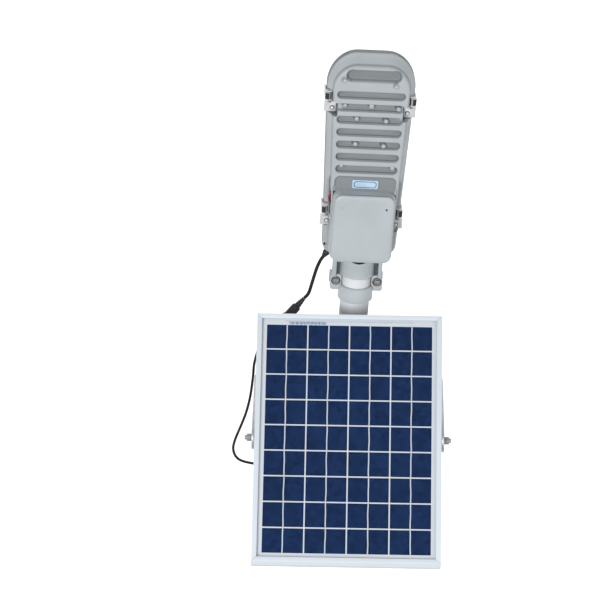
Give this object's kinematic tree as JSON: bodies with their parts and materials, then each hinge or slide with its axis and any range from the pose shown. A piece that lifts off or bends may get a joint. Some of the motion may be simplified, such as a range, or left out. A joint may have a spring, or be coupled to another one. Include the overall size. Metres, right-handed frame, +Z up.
{
  "type": "solar street lamp",
  "caption": "Solar street lamp: a finned cast lamp head clamped on a rising wall-arm pipe, with a framed solar panel tilting on a U-bracket above the pipe.",
  "frame": {"origin": "on the wall plate's back face, where the pipe's axis meets it", "axes": "+Z up, -Y out from the wall along the lamp, +Y into the wall, +X to the left of someone who looks from the wall at the lamp"},
  "size_m": [0.2803, 0.6786, 0.423],
  "materials": {
    "cast_grey": "satin grey coat on a casting",
    "white_coat": "white powder coat",
    "stainless": "stainless, satin",
    "aluminium": "anodised, satin",
    "black_plastic": "moulded, matte",
    "black_rubber": "matte",
    "clear_glass": "tempered, clear",
    "cell_blue": "blue cells under film",
    "white_sheet": "white film",
    "red_plastic": "moulded, glossy",
    "label_blue": "printed plate without lettering",
    "board_white": "white mask",
    "board_green": "green mask",
    "battery_wrap": "shrink wrap"
  },
  "bodies": {
    "arm": {"wall_plate": "white_coat", "arm_pipe": "white_coat", "arm_gusset": "white_coat", "saddle_upper": "stainless", "saddle_lower": "stainless", "saddle_bolt_a": "stainless", "saddle_bolt_b": "stainless", "swivel_bolt": "stainless", "u_bracket": "stainless", "lamp_plug": "black_plastic", "panel_socket": "black_plastic"},
    "panel": {"frame_left": "aluminium", "frame_right": "aluminium", "frame_top": "aluminium", "frame_bottom": "aluminium", "panel_glass": "clear_glass", "cell_laminate": "cell_blue", "back_sheet": "white_sheet", "junction_box": "black_plastic", "junction_box_lid": "black_plastic", "junction_gland": "black_plastic", "pivot_bolt_left": "stainless", "pivot_bolt_right": "stainless", "pivot_nut_left": "stainless", "pivot_nut_right": "stainless", "panel_lead": "black_rubber"},
    "lamp": {"housing": "cast_grey", "lid": "cast_grey", "lid_gasket": "black_rubber", "lid_screw_a": "stainless", "lid_screw_b": "stainless", "led_board": "board_white", "reflector": "board_white", "battery_pack": "battery_wrap", "controller_board": "board_green", "label_plate": "label_blue", "cable_gland": "black_plastic", "switch_body": "black_plastic", "clamp_saddle": "cast_grey", "clamp_bolt_a": "stainless", "clamp_bolt_b": "stainless", "lamp_lead": "black_rubber", "latch_base_front_left": "stainless", "latch_base_front_right": "stainless", "latch_base_rear_left": "stainless", "latch_base_rear_right": "stainless", "latch_pin_front_left": "stainless", "latch_pin_front_right": "stainless", "latch_pin_rear_left": "stainless", "latch_pin_rear_right": "stainless"},
    "cover": {"cover_frame": "cast_grey", "cover_glass": "clear_glass", "cover_gasket": "black_rubber"},
    "rocker": {"switch_rocker": "red_plastic"},
    "latch_front_left": {"latch_lever_front_left": "stainless"},
    "latch_front_right": {"latch_lever_front_right": "stainless"},
    "latch_rear_left": {"latch_lever_rear_left": "stainless"},
    "latch_rear_right": {"latch_lever_rear_right": "stainless"}
  },
  "joints": [
    {"name": "panel_tilt", "type": "hinge", "parent": "arm", "child": "panel", "pos_m": [-0.00298, -0.1841, 0.24601], "axis": [0.9984, 0.0563, 0.0012], "range_deg": [-35, 10], "deforming": ["panel_lead"]},
    {"name": "lamp_roll", "type": "hinge", "parent": "arm", "child": "lamp", "pos_m": [0, -0.33807, 0.09059], "axis": [0, -0.9659, 0.2588], "range_deg": [-12, 12], "deforming": ["lamp_lead"]},
    {"name": "cover_drop", "type": "slide", "parent": "lamp", "child": "cover", "axis": [0.0785, -0.258, -0.9629], "range_m": [0, 0.06]},
    {"name": "switch_rock", "type": "hinge", "parent": "lamp", "child": "rocker", "pos_m": [0.0408, -0.48242, 0.15076], "axis": [-0.0785, 0.258, 0.9629], "range_deg": [0, 16]},
    {"name": "latch_front_left", "type": "hinge", "parent": "lamp", "child": "latch_front_left", "pos_m": [0.05375, -0.61534, 0.17861], "axis": [0, -0.9659, 0.2588], "range_deg": [0, 110]},
    {"name": "latch_front_right", "type": "hinge", "parent": "lamp", "child": "latch_front_right", "pos_m": [-0.05501, -0.61369, 0.1693], "axis": [0, 0.9659, -0.2588], "range_deg": [0, 110]},
    {"name": "latch_rear_left", "type": "hinge", "parent": "lamp", "child": "latch_rear_left", "pos_m": [0.04736, -0.46189, 0.13697], "axis": [0, -0.9659, 0.2588], "range_deg": [0, 110]},
    {"name": "latch_rear_right", "type": "hinge", "parent": "lamp", "child": "latch_rear_right", "pos_m": [-0.04869, -0.46191, 0.12915], "axis": [0, 0.9659, -0.2588], "range_deg": [0, 110]}
  ]
}
